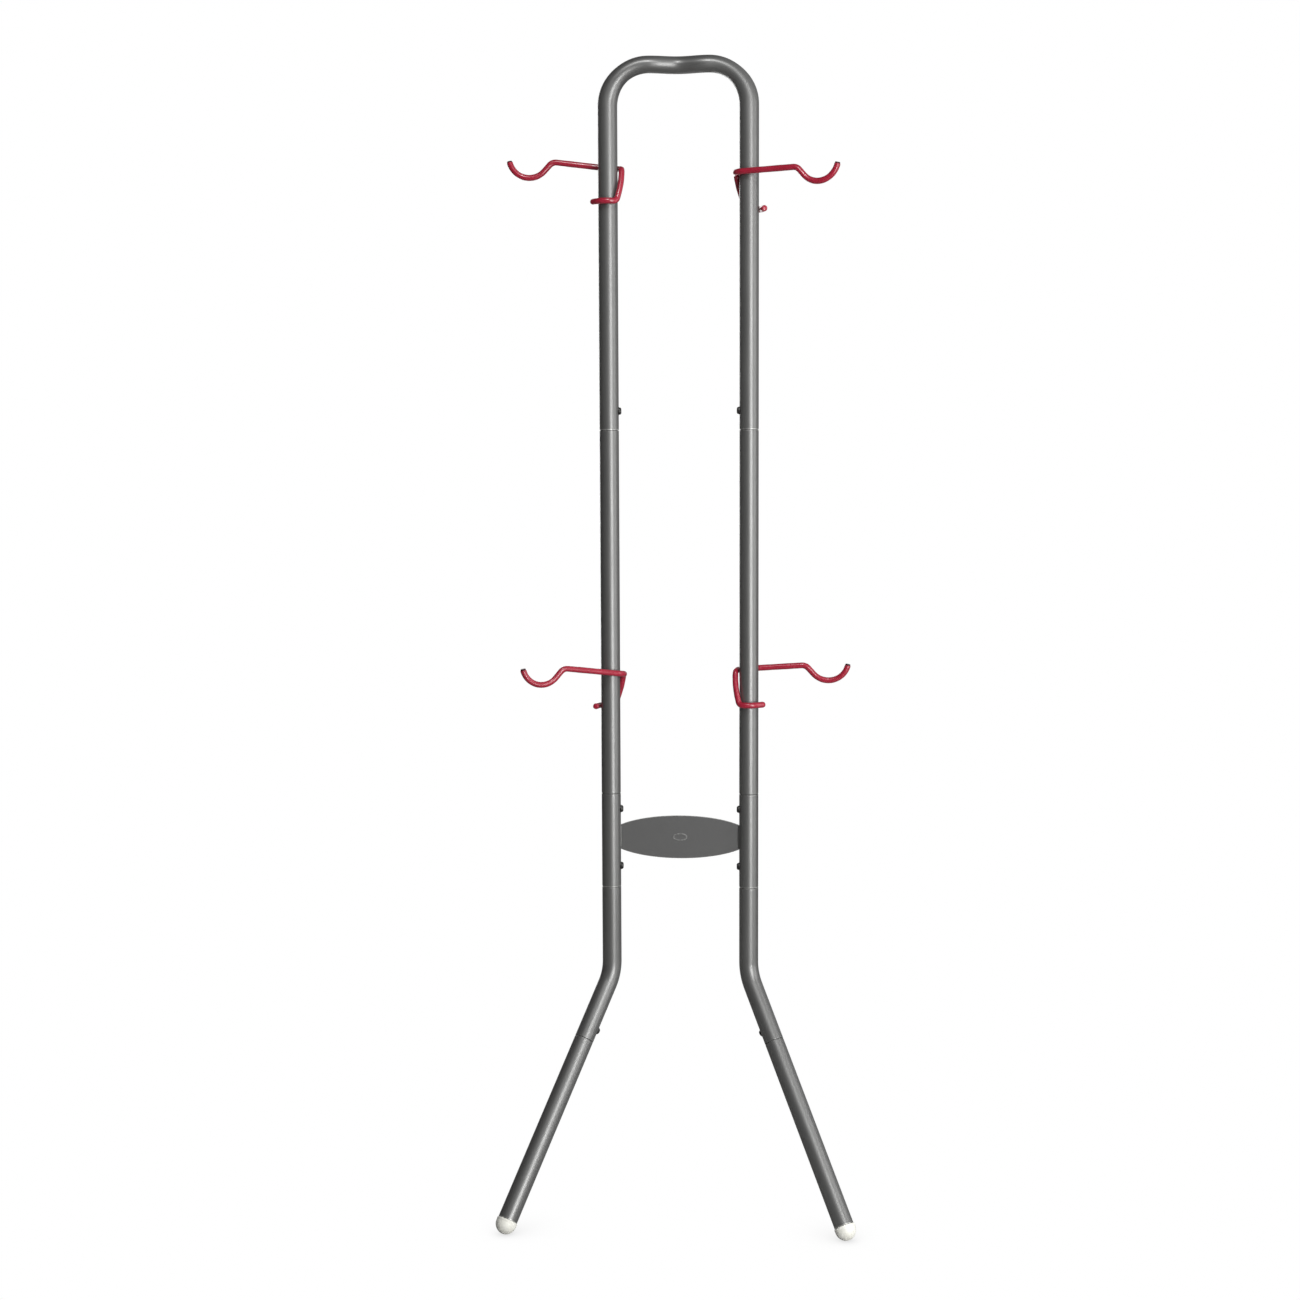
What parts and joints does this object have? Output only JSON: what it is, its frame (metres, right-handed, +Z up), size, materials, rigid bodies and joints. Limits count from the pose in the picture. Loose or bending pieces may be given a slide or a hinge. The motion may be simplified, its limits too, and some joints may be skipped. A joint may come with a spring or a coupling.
{
  "type": "leaning two-bike storage rack",
  "caption": "Bolted steel tube frame that leans on a wall on two splayed legs, with sliding, swivelling vinyl-dipped wire hooks that hold bicycles by the frame.",
  "frame": {"origin": "on the floor, centre of the bottom of the bounding box", "axes": "+Z up along the uprights; -Y front, into the room; +Y to the wall; +X to the right seen from the front"},
  "size_m": [0.6873, 0.3124, 2.2488],
  "materials": {
    "frame_paint": "graphite powder coat, satin",
    "brace_paint": "graphite powder coat, matte",
    "hook_vinyl": "steel wire dipped in glossy red vinyl",
    "foot_plastic": "off-white moulded polyethylene",
    "bolt_steel": "black oxide",
    "nut_zinc": "zinc plate",
    "pad_rubber": "black moulded rubber",
    "ring_rubber": "black, hidden"
  },
  "bodies": {
    "frame": {"top_hoop": "frame_paint", "wall_pad": "pad_rubber", "brace_plate": "brace_paint", "left_upright": "frame_paint", "left_brace_tube": "frame_paint", "left_knee_tube": "frame_paint", "left_leg_tube": "frame_paint", "left_foot_cap": "foot_plastic", "left_upper_bolt": "bolt_steel", "left_upper_nut": "nut_zinc", "left_middle_bolt": "bolt_steel", "left_middle_nut": "nut_zinc", "left_lower_bolt": "bolt_steel", "left_lower_nut": "nut_zinc", "left_leg_bolt": "bolt_steel", "left_leg_nut": "nut_zinc", "right_upright": "frame_paint", "right_brace_tube": "frame_paint", "right_knee_tube": "frame_paint", "right_leg_tube": "frame_paint", "right_foot_cap": "foot_plastic", "right_upper_bolt": "bolt_steel", "right_upper_nut": "nut_zinc", "right_middle_bolt": "bolt_steel", "right_middle_nut": "nut_zinc", "right_lower_bolt": "bolt_steel", "right_lower_nut": "nut_zinc", "right_leg_bolt": "bolt_steel", "right_leg_nut": "nut_zinc"},
    "upper_left_slider": {"upper_left_slip_ring": "ring_rubber"},
    "upper_left_hook": {"upper_left_hook": "hook_vinyl"},
    "upper_right_slider": {"upper_right_slip_ring": "ring_rubber"},
    "upper_right_hook": {"upper_right_hook": "hook_vinyl"},
    "lower_left_slider": {"lower_left_slip_ring": "ring_rubber"},
    "lower_left_hook": {"lower_left_hook": "hook_vinyl"},
    "lower_right_slider": {"lower_right_slip_ring": "ring_rubber"},
    "lower_right_hook": {"lower_right_hook": "hook_vinyl"}
  },
  "joints": [
    {"name": "upper_left_slide", "type": "slide", "parent": "frame", "child": "upper_left_slider", "axis": [0, 0, 1], "range_m": [-0.386, 0.104]},
    {"name": "upper_left_swivel", "type": "hinge", "parent": "upper_left_slider", "child": "upper_left_hook", "pos_m": [-0.137, 0.11425, 2.04], "axis": [0, 0, 1], "range_deg": [-1, 109]},
    {"name": "upper_right_slide", "type": "slide", "parent": "frame", "child": "upper_right_slider", "axis": [0, 0, 1], "range_m": [-0.371, 0.119]},
    {"name": "upper_right_swivel", "type": "hinge", "parent": "upper_right_slider", "child": "upper_right_hook", "pos_m": [0.137, 0.11425, 2.025], "axis": [0, 0, -1], "range_deg": [-23, 87]},
    {"name": "lower_left_slide", "type": "slide", "parent": "frame", "child": "lower_left_slider", "axis": [0, 0, 1], "range_m": [-0.188, 0.492]},
    {"name": "lower_left_swivel", "type": "hinge", "parent": "lower_left_slider", "child": "lower_left_hook", "pos_m": [-0.137, 0.11425, 1.055], "axis": [0, 0, 1], "range_deg": [-27, 83]},
    {"name": "lower_right_slide", "type": "slide", "parent": "frame", "child": "lower_right_slider", "axis": [0, 0, 1], "range_m": [-0.193, 0.487]},
    {"name": "lower_right_swivel", "type": "hinge", "parent": "lower_right_slider", "child": "lower_right_hook", "pos_m": [0.137, 0.11425, 1.06], "axis": [0, 0, -1], "range_deg": [-5, 105]}
  ]
}
